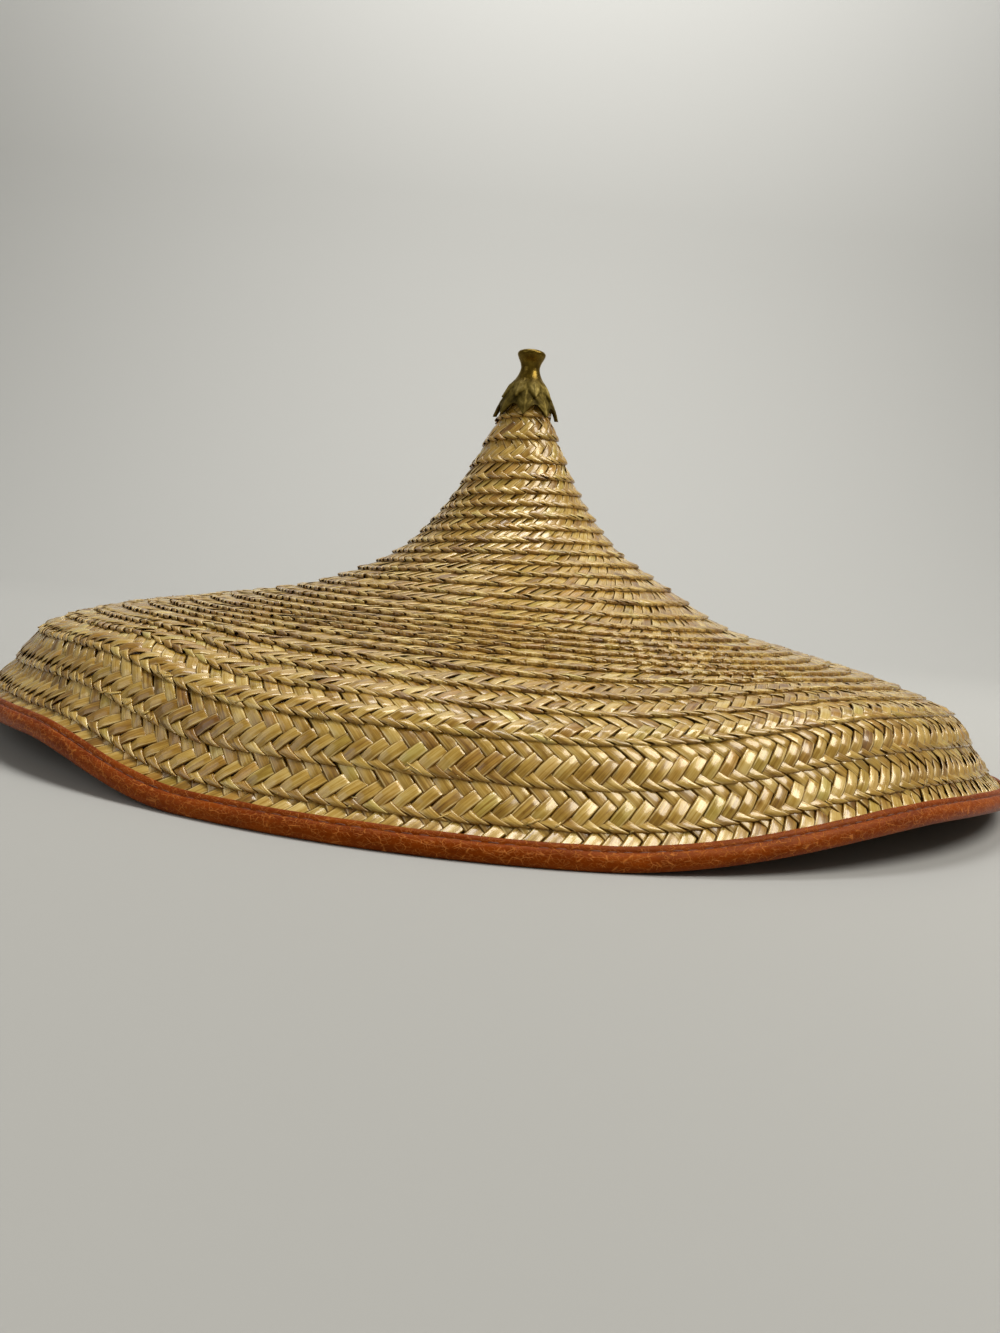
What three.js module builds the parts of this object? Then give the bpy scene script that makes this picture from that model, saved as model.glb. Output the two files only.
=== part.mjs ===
// Conical straw hat: a spiral of sewn straw plait, a leather binding folded over its rim and a cast brass
// cap on its tip. Millimetres, +Z up. The origin is the centre of the rim, on the surface that the hat rests
// on. The front faces -Y, and a bearing of 0 degrees points along +X.
import * as THREE from 'three'

const { euclideanModulo, lerp, mapLinear, radToDeg, smoothstep } = THREE.MathUtils

// Plait: a turn is one lap of the spiral, counted from the rim at turn 0 to the tip
const TURNS = 30
const SIDES = 48
const WALL = 2
const LAP = 1.2 // how far a turn's lower edge stands proud of the turn below it
const RIM_WALL = 2.4 // the shell is thinner at the rim, where only one turn lies
const SPIRAL_START = -Math.PI / 2 // bearing where the plait starts, hidden under the binding

// The crown's outer face at the laps, from the rim up
const PROFILE = [
  { turn: 0, radius: 206.5, height: 3.2 }, // rim
  { turn: 1, radius: 201.6, height: 8.1 }, // turned down brim
  { turn: 2, radius: 195, height: 17.3 },
  { turn: 3, radius: 188, height: 28.1 },
  { turn: 4, radius: 177.7, height: 34.7 },
  { turn: 6, radius: 158.3, height: 42.5 },
  { turn: 8, radius: 140.8, height: 47 },
  { turn: 10, radius: 125.5, height: 50.4 }, // flattest slope
  { turn: 12, radius: 108.2, height: 53.7 },
  { turn: 14, radius: 90.1, height: 59 },
  { turn: 16, radius: 73.3, height: 67 },
  { turn: 18, radius: 57.8, height: 75.3 },
  { turn: 20, radius: 45.6, height: 84.1 }, // foot of the peak
  { turn: 22, radius: 36.5, height: 94.3 },
  { turn: 24, radius: 29.1, height: 104.5 },
  { turn: 26, radius: 21.4, height: 118.4 },
  { turn: 28, radius: 12.3, height: 138.5 }, // under the cap's skirt
  { turn: TURNS, radius: 4.4, height: 154 }, // tip
]

// How far the rim is lifted off the resting plane, round the rim. It rests on its front and back, and its
// sides curl up. The lift fades away from the brim towards the crown.
const RIM_LIFT = [
  { bearing: -180, lift: 5 },
  { bearing: -131, lift: 10 },
  { bearing: -112.5, lift: 0 },
  { bearing: -82.5, lift: 0 },
  { bearing: -50, lift: 11.8 },
  { bearing: 0, lift: 2 },
  { bearing: 48, lift: 8 },
  { bearing: 82.5, lift: 0 },
  { bearing: 112.5, lift: 0 },
  { bearing: 140, lift: 8 },
  { bearing: 180, lift: 5 },
]
const LIFT_STARTS = 130 // radius
const LIFT_FULL = 205 // radius

// The foot of the peak leans a little: its rings rise towards +X, by this much for each millimetre
const LEAN = 0.06
const LEAN_RADII = { starts: 12, full: 30, fades: 50, ends: 105 }

// Inner face of the shell: turns at which it has a ring, and where it closes below the tip
const INNER_RINGS = [1, 2, 3, 4, 5, 6, 8, 10, 12, 14, 16, 18, 20, 22, 24, 26, 28]
const INNER_TOP = 143

// Binding: a strip of leather folded round the brim's edge
const LEATHER = 1.2
const GAP = 0.35 // between the leather and the straw
const BAND_HEIGHT = 2.4 // along the brim's face, from its edge to the leather's upper edge
const SEAM_DEPTH = 1.3 // stitch line below the leather's upper edge
const SEAM_SINK = 0.2 // how far the stitches pull the leather in

// The padded fold below the stitches, down to the flat foot that the hat rests on, measured from the rim
const FOLD = [
  { out: 1.9, height: 4.8 },
  { out: 3.3, height: 3.4 },
  { out: 3.6, height: 1.4 },
  { out: 2.2, height: 0 },
  { out: -1.4, height: 0 },
]

// Cap: heights are above the level of its lower leaf tips, and the profile is its outer face
const CAP_LEVEL = 138.5
const CAP_SIDES = 64
const LEAVES = 8
const CAP_WALL = 1.1
const TIER_RELIEF = 0.8 // how far the upper tier of leaves stands proud of the lower one
const ARCH_HEIGHT = 5 // from the lower leaf tips to the arches between them
const TIER_LEVEL = 8 // height of the upper leaf tips, which lie over the lower arches
const TIER_ARCH = 3.3
const SKIRT_TOP = 16
const HOLLOW_BEND = 0.3 // share of the way up the skirt at which the cap's inner face bends
const CAP_PROFILE = [
  { height: 0, radius: 14.1 }, // lower leaf tips
  { height: 4.4, radius: 12.6 },
  { height: 8, radius: 10.9 },
  { height: 11.6, radius: 9 },
  { height: SKIRT_TOP, radius: 6.7 },
  { height: 18.7, radius: 5.1 },
  { height: 20.5, radius: 4.4 },
  { height: 22.3, radius: 4.05 }, // neck
  { height: 24.2, radius: 4.5 },
  { height: 26.2, radius: 5.5 },
  { height: 27.7, radius: 6.2 }, // lip of the knob
  { height: 28.9, radius: 6 },
  { height: 29.7, radius: 5.1 },
  { height: 30.2, radius: 3.4 }, // rim of the flat top
]

const crown = new THREE.SplineCurve(PROFILE.map((row) => new THREE.Vector2(row.radius, row.height)))
const RIM_PITCH = crown.points[0].distanceTo(crown.points[1])

// The two neighbouring rows of a table that a value lies between
function rowsAround(table, column, value) {
  const next = table.findIndex((row, i) => i > 0 && row[column] >= value)
  return [table[next - 1], table[next]]
}

// The height that the brim's warp and the peak's lean add at a radius and an angle in radians
function lift(radius, angle) {
  const bearing = euclideanModulo(radToDeg(angle) + 180, 360) - 180
  const [from, to] = rowsAround(RIM_LIFT, 'bearing', bearing)
  const share = smoothstep(bearing, from.bearing, to.bearing)
  const fade = smoothstep(radius, LIFT_STARTS, LIFT_FULL)
  const { starts, full, fades, ends } = LEAN_RADII
  const leans = smoothstep(radius, starts, full) - smoothstep(radius, fades, ends)
  return lerp(from.lift, to.lift, share) * fade + LEAN * leans * radius * Math.cos(angle)
}

// Radius and height of a point on the crown's section: a turn, which runs below 0 past the rim's edge, and
// an offset outward from the laps
function onSection(turn, offset) {
  const onCrown = Math.max(turn, 0)
  const [from, to] = rowsAround(PROFILE, 'turn', onCrown)
  const row = PROFILE.indexOf(from) + (onCrown - from.turn) / (to.turn - from.turn)
  const share = row / (PROFILE.length - 1)
  const along = crown.getTangent(share)
  const past = Math.min(turn, 0) * RIM_PITCH
  const foot = crown.getPoint(share).addScaledVector(along, past)
  return { radius: foot.x + along.y * offset, height: foot.y - along.x * offset }
}

// A closed skin that is built from points and faces
class Skin {
  points = []
  corners = []

  add(radius, height, angle) {
    this.points.push(radius * Math.cos(angle), radius * Math.sin(angle), height + lift(radius, angle))
    return this.points.length / 3 - 1
  }

  addOnCrown(turn, offset, angle) {
    const { radius, height } = onSection(turn, offset)
    return this.add(radius, height, angle)
  }

  face(...loop) {
    for (let i = 2; i < loop.length; i++) {
      this.corners.push(loop[0], loop[i - 1], loop[i])
    }
  }

  // Faces between two rings of points, the first below the second as seen from outside
  band(lower, upper) {
    lower.forEach((corner, i) => {
      const next = (i + 1) % lower.length
      this.face(corner, lower[next], upper[next], upper[i])
    })
  }

  mesh(name, material) {
    const geometry = new THREE.BufferGeometry()
    geometry.setAttribute('position', new THREE.Float32BufferAttribute(this.points, 3))
    geometry.setIndex(this.corners)
    geometry.computeVertexNormals()
    const mesh = new THREE.Mesh(geometry, material)
    mesh.name = name
    return mesh
  }
}

const steps = (count, make) => Array.from({ length: count }, (_, i) => make(i))

// The straw shell. Along the spiral, point m is the foot of the plait's lower edge on the turn below, and
// its lip stands LAP proud of that. Between one lip and the foot a turn above it, the plait's face slopes in.
function strawBody() {
  const skin = new Skin()
  const angleAt = (m) => SPIRAL_START + (2 * Math.PI * m) / SIDES
  const length = TURNS * SIDES
  const foot = steps(length + 1, (m) => skin.addOnCrown(m / SIDES, -LAP, angleAt(m)))
  const lip = steps(length + 1, (m) => skin.addOnCrown(m / SIDES, 0, angleAt(m)))
  for (let m = 0; m < length; m++) {
    skin.face(foot[m], foot[m + 1], lip[m + 1], lip[m])
  }
  for (let m = 0; m < length - SIDES; m++) {
    skin.face(lip[m], lip[m + 1], foot[m + SIDES + 1], foot[m + SIDES])
  }

  // The rim's outer ring meets the start of the spiral, and the tip's ring meets its end
  const edge = (turn, j) => skin.addOnCrown(turn, LAP * (j / SIDES - 1), angleAt(j))
  const rim = [foot[0], ...steps(SIDES - 1, (j) => edge(0, j + 1)), lip[0]]
  const tip = [foot[length], ...steps(SIDES - 1, (j) => edge(TURNS, j + 1)), lip[length]]
  const inner = steps(SIDES, (j) => skin.addOnCrown(0, -RIM_WALL, angleAt(j)))
  const apex = skin.add(0, onSection(TURNS, 0).height, 0)
  skin.face(rim[0], rim[1], foot[1])
  skin.face(inner[SIDES - 1], inner[0], rim[0], rim[SIDES], rim[SIDES - 1])
  for (let j = 0; j < SIDES; j++) {
    const last = length - SIDES + j
    if (j > 0) {
      skin.face(rim[j], rim[j + 1], foot[j + 1], foot[j])
    }
    if (j < SIDES - 1) {
      skin.face(inner[j], inner[j + 1], rim[j + 1], rim[j])
      skin.face(lip[last], lip[last + 1], tip[j + 1], tip[j])
    } else {
      skin.face(lip[last], tip[SIDES], tip[j])
    }
    skin.face(tip[j], tip[j + 1], apex)
  }
  skin.face(tip[SIDES], tip[0], apex)

  // The smooth inner face, from the rim up to a closed top
  let below = inner
  for (const turn of INNER_RINGS) {
    const ring = steps(SIDES, (j) => skin.addOnCrown(turn, -LAP - WALL, angleAt(j)))
    skin.band(ring, below)
    below = ring
  }
  const top = skin.add(0, INNER_TOP, 0)
  below.forEach((corner, j) => skin.face(below[(j + 1) % SIDES], corner, top))
  return skin.mesh(
    'straw_body',
    new THREE.MeshStandardMaterial({ color: 0xb08d52, roughness: 0.5, metalness: 0, side: THREE.DoubleSide })
  )
}

// The leather's section is a closed loop round the brim's edge, swept round the rim
function brimBinding() {
  const skin = new Skin()
  const up = (distance) => distance / RIM_PITCH
  const outside = (distance, thickness) => onSection(up(distance), GAP + thickness)
  const inside = (distance, thickness) =>
    onSection(up(distance), -lerp(RIM_WALL, LAP + WALL, up(distance)) - GAP - thickness)
  const rim = onSection(0, 0)
  const section = [
    outside(BAND_HEIGHT, 0),
    outside(BAND_HEIGHT, LEATHER),
    outside(BAND_HEIGHT - SEAM_DEPTH, LEATHER - SEAM_SINK),
    ...FOLD.map(({ out, height }) => ({ radius: rim.radius + out, height })),
    inside(0, LEATHER),
    inside(BAND_HEIGHT, LEATHER),
    inside(BAND_HEIGHT, 0),
    inside(-GAP, 0),
    outside(-GAP, 0),
  ]
  const rings = section.map(({ radius, height }) =>
    steps(SIDES, (j) => skin.add(radius, height, SPIRAL_START + (2 * Math.PI * j) / SIDES))
  )
  rings.forEach((ring, i) => skin.band(rings[(i + 1) % rings.length], ring))
  return skin.mesh(
    'brim_binding',
    new THREE.MeshStandardMaterial({ color: 0x96401a, roughness: 0.45, metalness: 0 })
  )
}

// Radius of the cap's outer face at a height above its lower leaf tips
function capRadius(height) {
  const [from, to] = rowsAround(CAP_PROFILE, 'height', height)
  return mapLinear(height, from.height, to.height, from.radius, to.radius)
}

// Leaves end in a point and meet in a round arch: 0 at a leaf's tip and 1 at the top of the arch beside it
function leafEdge(angle, firstTip) {
  const leaf = euclideanModulo(((angle - firstTip) * LEAVES) / (2 * Math.PI), 1)
  return Math.sin(Math.PI * Math.min(leaf, 1 - leaf))
}

function finialCap() {
  const skin = new Skin()
  const half = Math.PI / LEAVES
  const ring = (heightAt, offset) =>
    steps(CAP_SIDES, (j) => {
      const angle = SPIRAL_START + (2 * Math.PI * j) / CAP_SIDES
      const height = heightAt(angle)
      return skin.add(capRadius(height) + offset, CAP_LEVEL + height, angle)
    })
  const lower = (angle) => ARCH_HEIGHT * leafEdge(angle, SPIRAL_START)
  const upper = (angle) => TIER_LEVEL + TIER_ARCH * leafEdge(angle, SPIRAL_START + half)
  const between = (angle) => (lower(angle) + upper(angle)) / 2
  const under = (angle) => lerp(lower(angle), SKIRT_TOP, HOLLOW_BEND)
  const levels = CAP_PROFILE.filter((row) => row.height > TIER_LEVEL + TIER_ARCH).map((row) => row.height)
  const outer = [
    ring(lower, 0),
    ring(between, 0),
    ring(upper, 0),
    ring(upper, TIER_RELIEF),
    ...levels.map((level) => ring(() => level, level < SKIRT_TOP ? TIER_RELIEF : 0)),
  ]
  const inner = [ring(lower, -CAP_WALL), ring(under, -CAP_WALL), ring(() => SKIRT_TOP, -CAP_WALL)]
  for (let i = 1; i < outer.length; i++) {
    skin.band(outer[i - 1], outer[i])
  }
  skin.band(inner[0], outer[0])
  skin.band(inner[1], inner[0])
  skin.band(inner[2], inner[1])
  const roof = skin.add(0, CAP_LEVEL + SKIRT_TOP + CAP_WALL, 0)
  const top = skin.add(0, CAP_LEVEL + levels.at(-1), 0)
  steps(CAP_SIDES, (j) => {
    const next = (j + 1) % CAP_SIDES
    skin.face(inner[2][next], inner[2][j], roof)
    skin.face(outer.at(-1)[j], outer.at(-1)[next], top)
  })
  return skin.mesh(
    'finial_cap',
    new THREE.MeshStandardMaterial({ color: 0x6b5322, roughness: 0.35, metalness: 1 })
  )
}

export default new THREE.Group().add(strawBody(), brimBinding(), finialCap())
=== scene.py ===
"""Looks of the conical straw hat: the plait's straws, the leather binding and the cast brass cap.

Lengths are millimetres in the hat's frame until stand() turns them into metres. A turn is one lap of the
plait's spiral, counted from the rim, and a bearing is an angle round the hat from +X.
"""

import math

import bpy
import numpy as np
from mathutils import Matrix, Vector


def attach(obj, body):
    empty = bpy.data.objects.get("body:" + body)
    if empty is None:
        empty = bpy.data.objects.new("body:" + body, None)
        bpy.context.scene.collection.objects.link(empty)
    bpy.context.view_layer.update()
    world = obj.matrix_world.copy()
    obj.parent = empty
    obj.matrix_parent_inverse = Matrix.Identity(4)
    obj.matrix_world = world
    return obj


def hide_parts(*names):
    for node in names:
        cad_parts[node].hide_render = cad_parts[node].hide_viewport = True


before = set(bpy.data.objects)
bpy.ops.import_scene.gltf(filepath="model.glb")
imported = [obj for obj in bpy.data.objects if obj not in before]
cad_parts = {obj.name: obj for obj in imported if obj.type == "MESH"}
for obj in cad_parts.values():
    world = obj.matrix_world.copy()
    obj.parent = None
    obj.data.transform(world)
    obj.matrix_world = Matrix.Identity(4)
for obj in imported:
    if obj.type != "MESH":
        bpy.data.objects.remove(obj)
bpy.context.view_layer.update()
MM = 0.001

# The crown's section at the laps: turn, radius and height
PROFILE = np.array(
    [
        (0, 206.5, 3.2),
        (1, 201.6, 8.1),
        (2, 195, 17.3),
        (3, 188, 28.1),
        (4, 177.7, 34.7),
        (6, 158.3, 42.5),
        (8, 140.8, 47),
        (10, 125.5, 50.4),
        (12, 108.2, 53.7),
        (14, 90.1, 59),
        (16, 73.3, 67),
        (18, 57.8, 75.3),
        (20, 45.6, 84.1),
        (22, 36.5, 94.3),
        (24, 29.1, 104.5),
        (26, 21.4, 118.4),
        (28, 12.3, 138.5),
        (30, 4.4, 154),
    ]
)
TURNS = 30
RIM_PITCH = math.dist(PROFILE[0, 1:], PROFILE[1, 1:])
SPIRAL_START = -math.pi / 2

# Lift of the rim, by bearing in degrees
RIM_LIFT = np.array(
    [
        (-180, 5),
        (-131, 10),
        (-112.5, 0),
        (-82.5, 0),
        (-50, 11.8),
        (0, 2),
        (48, 8),
        (82.5, 0),
        (112.5, 0),
        (140, 8),
        (180, 5),
    ]
)
LIFT_STARTS = 130  # radius
LIFT_FULL = 205

# The foot of the peak leans: its rings rise towards +X
PEAK_LEAN = 0.06
LEAN_STARTS = (12, 30)  # radii
LEAN_FADES = (50, 105)

# Plait
STRAW_PITCH = 5.15  # along the plait, from one fold to the next
SLOPE = 0.95  # distance along the plait for each millimetre across it
LEVEL = STRAW_PITCH / (2 * SLOPE)  # across the plait, from one crossing to the next
SWEEP = 1.25  # how far a straw sweeps along the plait where it turns round the lower edge
SWEEP_DEPTH = 3.0
EDGE_TOP = 1.5 * LEVEL - SWEEP / SLOPE  # the folded edge, the pads and the upper straws lie one over another
PAD_TOP = EDGE_TOP + 2 * LEVEL
PLAIT_BASE = -0.55  # of the plait's middle from the laps
PLAIT_LAP = 1.0  # how far a turn's lower edge stands off the turn below
LAP_REACH = 1.1  # share of a turn's pitch over which it leans in by that much
TUCK = 2.2  # how far a turn runs on under the next one
FIRST_DROP = 0.25  # share of a turn by which the first one is sewn lower, under the leather
FIRST_DROP_ENDS = (0.35, 0.95)
LOWEST_TURN = 0.12  # no straw comes nearer to the rim

RNG = np.random.default_rng(7)


def smoothstep(value, low, high):
    share = np.clip((value - low) / (high - low), 0, 1)
    return share * share * (3 - 2 * share)


def crown(turn):
    """Points of the section and unit vectors up along it."""
    turn = np.asarray(turn, float)
    rows = PROFILE[:, 1:]
    place_on = np.interp(np.clip(turn, 0, TURNS), PROFILE[:, 0], np.arange(len(rows)))
    span = np.clip(np.floor(place_on).astype(int), 0, len(rows) - 2)
    share = (place_on - span)[..., None]
    before = rows[np.maximum(span - 1, 0)]
    start = rows[span]
    end = rows[span + 1]
    after = rows[np.minimum(span + 2, len(rows) - 1)]
    slope_in = (end - before) / 2
    slope_out = (after - start) / 2
    cube = 2 * start - 2 * end + slope_in + slope_out
    square = 3 * end - 3 * start - 2 * slope_in - slope_out
    point = ((cube * share + square) * share + slope_in) * share + start
    along = (3 * cube * share + 2 * square) * share + slope_in
    along = along / np.linalg.norm(along, axis=-1, keepdims=True)
    past = np.minimum(turn, 0)[..., None]
    return point + along * RIM_PITCH * past, along


def lift(radius, angle):
    bearing = np.degrees(np.mod(angle + math.pi, 2 * math.pi)) - 180
    row = np.clip(np.searchsorted(RIM_LIFT[:, 0], bearing, side="right"), 1, len(RIM_LIFT) - 1)
    low = RIM_LIFT[row - 1]
    high = RIM_LIFT[row]
    share = smoothstep(bearing, low[..., 0], high[..., 0])
    at_rim = low[..., 1] + (high[..., 1] - low[..., 1]) * share
    leans = smoothstep(radius, *LEAN_STARTS) - smoothstep(radius, *LEAN_FADES)
    return at_rim * smoothstep(radius, LIFT_STARTS, LIFT_FULL) + PEAK_LEAN * leans * radius * np.cos(angle)


def stand(radius, height, angle):
    up = height + lift(radius, angle)
    return np.stack([radius * np.cos(angle), radius * np.sin(angle), up], -1) * MM


def place(turn, offset, angle):
    """Points in metres: a turn up the section, an offset outward from the laps, and an angle."""
    point, along = crown(turn)
    radius = point[..., 0] + along[..., 1] * offset
    height = point[..., 1] - along[..., 0] * offset
    return stand(radius, height, angle)


def turn_pitch(turn):
    """Millimetres up the section from one turn's edge to the next."""
    return np.linalg.norm(crown(np.asarray(turn) + 1)[0] - crown(turn)[0], axis=-1)


# The spiral's turns, from a little below the rim, and its length up to each of them
SPIRAL_FIRST = -0.8
SPIRAL_STEPS = 400  # to a turn
SPIRAL = np.linspace(SPIRAL_FIRST, TURNS, round((TURNS - SPIRAL_FIRST) * SPIRAL_STEPS) + 1)
SPIRAL_LENGTH = np.concatenate(
    [[0], np.cumsum(2 * math.pi * crown((SPIRAL[1:] + SPIRAL[:-1]) / 2)[0][:, 0] * np.diff(SPIRAL))]
)
SPIRAL_LENGTH -= np.interp(0, SPIRAL, SPIRAL_LENGTH)


# Materials


class Look:
    """A material and short ways to wire its nodes."""

    def __init__(self, name):
        self.made = bpy.data.materials.new(name)
        self.made.use_nodes = True
        self.nodes = self.made.node_tree.nodes
        self.links = self.made.node_tree.links
        self.shader = self.nodes["Principled BSDF"]

    def set(self, **values):
        for key, value in values.items():
            self.shader.inputs[key.replace("_", " ")].default_value = value

    def wire(self, value, socket):
        if isinstance(value, bpy.types.NodeSocket):
            self.links.new(value, socket)
        else:
            socket.default_value = value

    def attribute(self, name):
        node = self.nodes.new("ShaderNodeAttribute")
        node.attribute_name = name
        return node.outputs["Vector"]

    def split(self, vector):
        node = self.nodes.new("ShaderNodeSeparateXYZ")
        self.wire(vector, node.inputs[0])
        return node.outputs

    def math(self, operation, *values):
        node = self.nodes.new("ShaderNodeMath")
        node.operation = operation
        for value, socket in zip(values, node.inputs):
            self.wire(value, socket)
        return node.outputs[0]

    def between(self, value, low, high, to_low=0.0, to_high=1.0):
        node = self.nodes.new("ShaderNodeMapRange")
        for item, socket in zip((value, low, high, to_low, to_high), node.inputs):
            self.wire(item, socket)
        return node.outputs[0]

    def noise(self, vector, stretch, detail=2.0, rough=0.5):
        place_on = self.nodes.new("ShaderNodeMapping")
        place_on.inputs["Scale"].default_value = stretch
        self.wire(vector, place_on.inputs["Vector"])
        node = self.nodes.new("ShaderNodeTexNoise")
        node.inputs["Scale"].default_value = 1.0
        node.inputs["Detail"].default_value = detail
        node.inputs["Roughness"].default_value = rough
        self.wire(place_on.outputs[0], node.inputs["Vector"])
        return node.outputs["Fac"]

    def cracks(self, vector, stretch, turned=0.0):
        """Distance to the nearest edge between cells."""
        place_on = self.nodes.new("ShaderNodeMapping")
        place_on.inputs["Scale"].default_value = stretch
        place_on.inputs["Rotation"].default_value = (0, 0, turned)
        self.wire(vector, place_on.inputs["Vector"])
        node = self.nodes.new("ShaderNodeTexVoronoi")
        node.feature = "DISTANCE_TO_EDGE"
        node.inputs["Scale"].default_value = 1.0
        self.wire(place_on.outputs[0], node.inputs["Vector"])
        return node.outputs["Distance"]

    def ramp(self, value, *stops):
        node = self.nodes.new("ShaderNodeValToRGB")
        elements = node.color_ramp.elements
        while len(elements) < len(stops):
            elements.new(0.5)
        for element, (position, colour) in zip(elements, stops):
            element.position = position
            element.color = (*colour, 1)
        self.wire(value, node.inputs["Fac"])
        return node.outputs["Color"]

    def mix(self, factor, first, second, blend="MIX"):
        node = self.nodes.new("ShaderNodeMix")
        node.data_type = "RGBA"
        node.blend_type = blend
        self.wire(factor, node.inputs["Factor"])
        for value, key in ((first, "A"), (second, "B")):
            self.wire(value if isinstance(value, bpy.types.NodeSocket) else (*value, 1), node.inputs[key])
        return node.outputs["Result"]

    def bump(self, height, strength, distance, normal=None):
        node = self.nodes.new("ShaderNodeBump")
        node.inputs["Strength"].default_value = strength
        node.inputs["Distance"].default_value = distance
        self.wire(height, node.inputs["Height"])
        if normal is not None:
            self.wire(normal, node.inputs["Normal"])
        return node.outputs["Normal"]


# Meshes


def mesh_piece(name, points, faces, look, replaced, attributes=(), lay=None):
    """A joined mesh from arrays: points in metres, and faces as arrays of corners. An attribute and the lay,
    which becomes the UV layer, have a row for each point or each corner."""
    mesh = bpy.data.meshes.new(name)
    corners = np.concatenate([f.ravel() for f in faces])
    sizes = np.concatenate([np.full(len(f), f.shape[1]) for f in faces])
    mesh.vertices.add(len(points))
    mesh.vertices.foreach_set("co", points.astype(np.float32).ravel())
    mesh.loops.add(len(corners))
    mesh.loops.foreach_set("vertex_index", corners.astype(np.int32))
    mesh.polygons.add(len(sizes))
    mesh.polygons.foreach_set("loop_start", np.concatenate([[0], np.cumsum(sizes)[:-1]]).astype(np.int32))
    mesh.polygons.foreach_set("loop_total", sizes.astype(np.int32))
    mesh.polygons.foreach_set("use_smooth", np.ones(len(sizes), bool))
    for key, values in attributes:
        domain = "POINT" if len(values) == len(points) else "CORNER"
        layer = mesh.attributes.new(key, "FLOAT_VECTOR", domain)
        layer.data.foreach_set("vector", values.astype(np.float32).ravel())
    if lay is not None:
        values = lay[corners] if len(lay) == len(points) else lay
        mesh.uv_layers.new(name="lay").data.foreach_set("uv", values.astype(np.float32).ravel())
    mesh.update()
    mesh.materials.append(look)
    piece = bpy.data.objects.new(name, mesh)
    bpy.context.scene.collection.objects.link(piece)
    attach(piece, "root")
    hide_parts(replaced)


def tube_faces(count, rows, around):
    """Quads of closed tubes with rings of points, and their two end caps. Points are [tube, row, ring]."""
    tube = np.arange(count)[:, None, None] * rows * around
    row = np.arange(rows - 1)[None, :, None] * around
    ring = np.arange(around)[None, None, :]
    first = tube + row + ring
    second = tube + row + (ring + 1) % around
    sides = np.stack([first, second, second + around, first + around], -1).reshape(-1, 4)
    start = (tube[:, 0] + ring[0])[:, ::-1]
    end = tube[:, 0] + (rows - 1) * around + ring[0]
    return [sides, np.concatenate([start, end])]


def swept_faces(rows, columns):
    """Quads of a closed section swept once round the hat. Points are [row, column]."""
    row = np.arange(rows)[:, None]
    column = np.arange(columns)[None, :]
    after = (column + 1) % columns
    first = row * columns
    second = (row + 1) % rows * columns
    return np.stack([first + column, second + column, second + after, first + after], -1).reshape(-1, 4)


# Straws. Each is a strip with a ring of points round it: four on its shown side and one behind.
STRAW_WIDTH = 3.7  # square to a straw's length
RING = np.array([-0.5, -0.36, 0.36, 0.5, 0.0])
RING_UP = np.array([-0.05, 0.16, 0.16, -0.05, -0.2])

# A strip's rows. across is in millimetres from the plait's lower edge, and height from the plait's middle.
# square says how far the strip's end is cut square to its length, and the last column how much painted shade it
# gets where it lies deep in a hollow.
EDGE_ROWS = [
    # across, height, square, painted shade of the hollow
    (1.7, -0.6, 0, 1),
    (0.3, -0.5, 0, 1),
    (-0.1, -0.14, 0, 0.6),
    (0.08, 0.2, 0, 0.1),
    (0.6, 0.46, 0.1, 0),
    (1.4, 0.5, 0.35, 0),
    (2.2, 0.42, 0.7, 0),
    (3.0, 0.2, 0.9, 0.3),
    (4.4, -0.5, 1, 1),
]
PAD_SHARES = [
    # share of the way up the pad, height, square, painted shade of the hollow
    (-0.2, -0.4, 0.8, 1),
    (-0.06, 0.08, 0.9, 0.5),
    (0.02, 0.3, 1, 0.15),
    (0.12, 0.5, 1, 0),
    (0.31, 0.88, 1, 0),
    (0.37, 0.95, 1, 0),
    (0.46, 0.97, 1, 0),
    (0.75, 0.82, 1, 0),
    (0.93, 0.6, 1, 0),
    (1.02, 0.4, 1, 0.2),
    (1.14, -0.15, 1, 1),
]
TOP_ROWS = [
    (PAD_TOP - 0.9, -0.45, 1, 1),
    (PAD_TOP - 0.1, 0.24, 1, 0.3),
    (PAD_TOP + 0.35, 0.52, 1, 0.1),
    (PAD_TOP + 1.6, 0.72, 1, 0),
    (PAD_TOP + 3.6, 0.7, 1, 0),
    (PAD_TOP + 6.2, 0.6, 1, 0.3),
]
CLOSE_PAD_TOP = PAD_TOP + 3.6  # where the next turn hides the upper straws
PAD_ROWS, CLOSE_PAD_ROWS = (
    [(EDGE_TOP + share * (top - EDGE_TOP), *rest) for share, *rest in PAD_SHARES]
    for top in (PAD_TOP, CLOSE_PAD_TOP)
)

# The folded edge wanders up and down in waves along the plait
WANDER_LENGTHS = (31, 67, 143, 390)
WANDER_SIZES = (0.08, 0.12, 0.14, 0.12)
WANDER_PHASES = RNG.uniform(0, 6, 4)
WANDER_REACH = 6  # across the plait, to where it has faded

# Where the straws turn round at the folded edge
FOLD_REACH = 1.6  # across the plait, to where these have faded
FOLD_SLIDE = 1.4  # how much more of a straw's slide shows
FOLD_DRIFT = 0.7  # share of a straw's drift that moves its fold up or down
SCALLOP = 0.3  # how far a fold's corners stand back from its middle
SCALLOP_TURN = 0.6  # how much lower one corner lies than the other
SCALLOP_AT_BRIM = 0.6  # share of both that the lowest turns show
SCALLOP_GAINS = 0.5  # and how much that grows further up

# The turns lie flatter further up: their pads are lower, their folded edges higher, their low rows shallower
FLATTENS = (2.2, 6.5)  # turns
FLAT_PAD = 0.7
FLAT_EDGE = 1.25
FLAT_LAP = 0.25
FLAT_LEVEL = 0.6  # height towards which the low rows rise
FLAT_RISE = 0.55

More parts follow.
